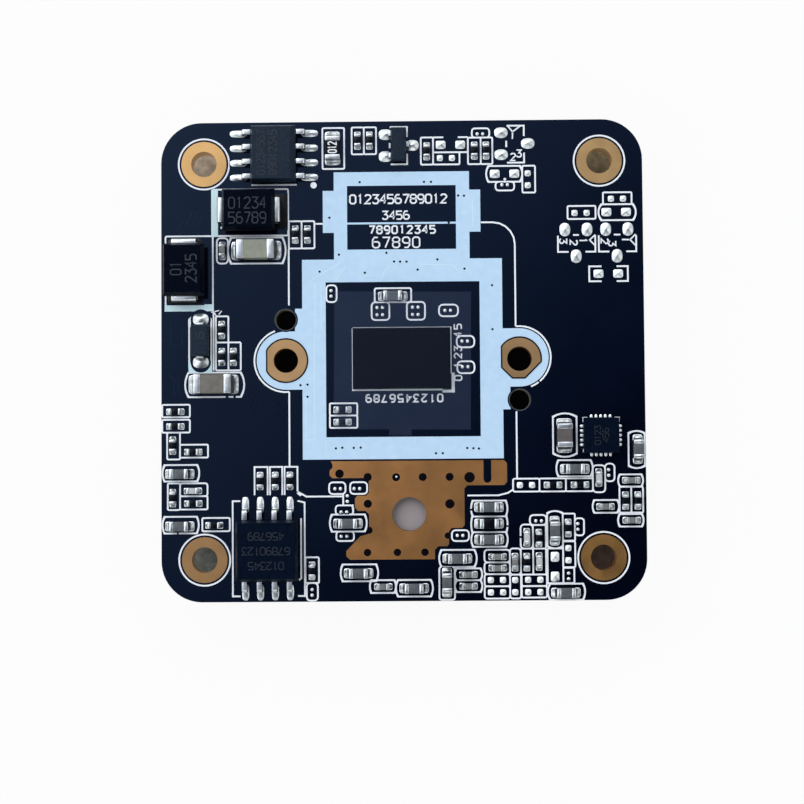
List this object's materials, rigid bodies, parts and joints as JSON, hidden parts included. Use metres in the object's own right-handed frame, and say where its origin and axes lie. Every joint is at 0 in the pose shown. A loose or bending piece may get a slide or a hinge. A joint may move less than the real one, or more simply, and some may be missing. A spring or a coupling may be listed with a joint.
{
  "type": "camera circuit module",
  "caption": "Square two-sided camera circuit board with a bare image sensor in the middle, a lens holder footprint, surface-mount parts, corner screw holes and cable sockets on its back.",
  "frame": {"origin": "under the middle of the board, on the plane that the four cable sockets rest on", "axes": "+Z is the optical axis, out of the sensor side; +Y points to the board edge above the sensor label window; +X completes the right-handed set"},
  "size_m": [0.0414, 0.0412, 0.0081],
  "materials": {
    "solder_mask": "glossy dark blue solder mask over glass-fibre laminate",
    "gold_plating": "immersion gold, satin",
    "frame_ink": "light blue-white printed ink over the dark mask",
    "line_ink": "white printed ink",
    "solder": "bright reflowed solder",
    "tinned_metal": "matte tin plate",
    "silicon": "polished dark silicon",
    "cover_glass": "clear glass over the dark die",
    "film": "clear protective film with a faint grey cast",
    "mould_compound": "black epoxy moulding compound, fine grain",
    "ceramic_olive": "light olive-grey ceramic",
    "ceramic_brown": "brown-grey ceramic",
    "ceramic_grey": "grey ceramic",
    "resistor_black": "black glaze over ceramic",
    "ferrite": "pressed dark grey metal powder",
    "lid_metal": "plated lid",
    "socket_nylon": "cream nylon"
  },
  "bodies": {
    "root": {"circuit_board": "solder_mask", "corner_eyelets": "gold_plating", "lens_eyelet_left": "gold_plating", "lens_eyelet_right": "gold_plating", "ground_pad": "gold_plating", "sensor_frame_print": "frame_ink", "outline_print": "line_ink", "bare_lands": "solder", "part_lands": "solder", "solder_fillets": "solder", "sensor_balls": "solder", "sensor_die": "silicon", "sensor_glass": "cover_glass", "sensor_film": "film", "surge_filter_body": "mould_compound", "surge_filter_leads": "tinned_metal", "flash_memory_body": "mould_compound", "flash_memory_leads": "tinned_metal", "surge_diode_1_body": "mould_compound", "surge_diode_1_leads": "tinned_metal", "surge_diode_2_body": "mould_compound", "surge_diode_2_leads": "tinned_metal", "small_diode_body": "mould_compound", "small_diode_leads": "tinned_metal", "transistor_body": "mould_compound", "transistor_leads": "tinned_metal", "driver_chip_body": "mould_compound", "driver_chip_leads": "tinned_metal", "input_capacitor_1_body": "ceramic_olive", "input_capacitor_1_ends": "tinned_metal", "input_capacitor_2_body": "ceramic_brown", "input_capacitor_2_ends": "tinned_metal", "bulk_capacitor_body": "ceramic_brown", "bulk_capacitor_ends": "tinned_metal", "fuse_resistor_body": "resistor_black", "fuse_resistor_ends": "tinned_metal", "capacitor_0603_bodies": "ceramic_grey", "bead_0603_body": "resistor_black", "chip_0603_ends": "tinned_metal", "resistor_0402_bodies": "resistor_black", "capacitor_0402_bodies": "ceramic_brown", "chip_0402_ends": "tinned_metal", "processor_body": "mould_compound", "processor_leads": "tinned_metal", "crystal_base": "ceramic_brown", "crystal_lid": "lid_metal", "choke_core_1": "ferrite", "choke_core_2": "ferrite", "choke_core_3": "ferrite", "choke_ends": "tinned_metal", "regulator_body": "mould_compound", "regulator_leads": "tinned_metal", "network_socket_housing": "socket_nylon", "network_socket_contacts": "tinned_metal", "audio_socket_housing": "socket_nylon", "audio_socket_contacts": "tinned_metal", "lamp_socket_housing": "socket_nylon", "lamp_socket_contacts": "tinned_metal", "shutter_socket_housing": "socket_nylon", "shutter_socket_contacts": "tinned_metal"}
  },
  "joints": []
}
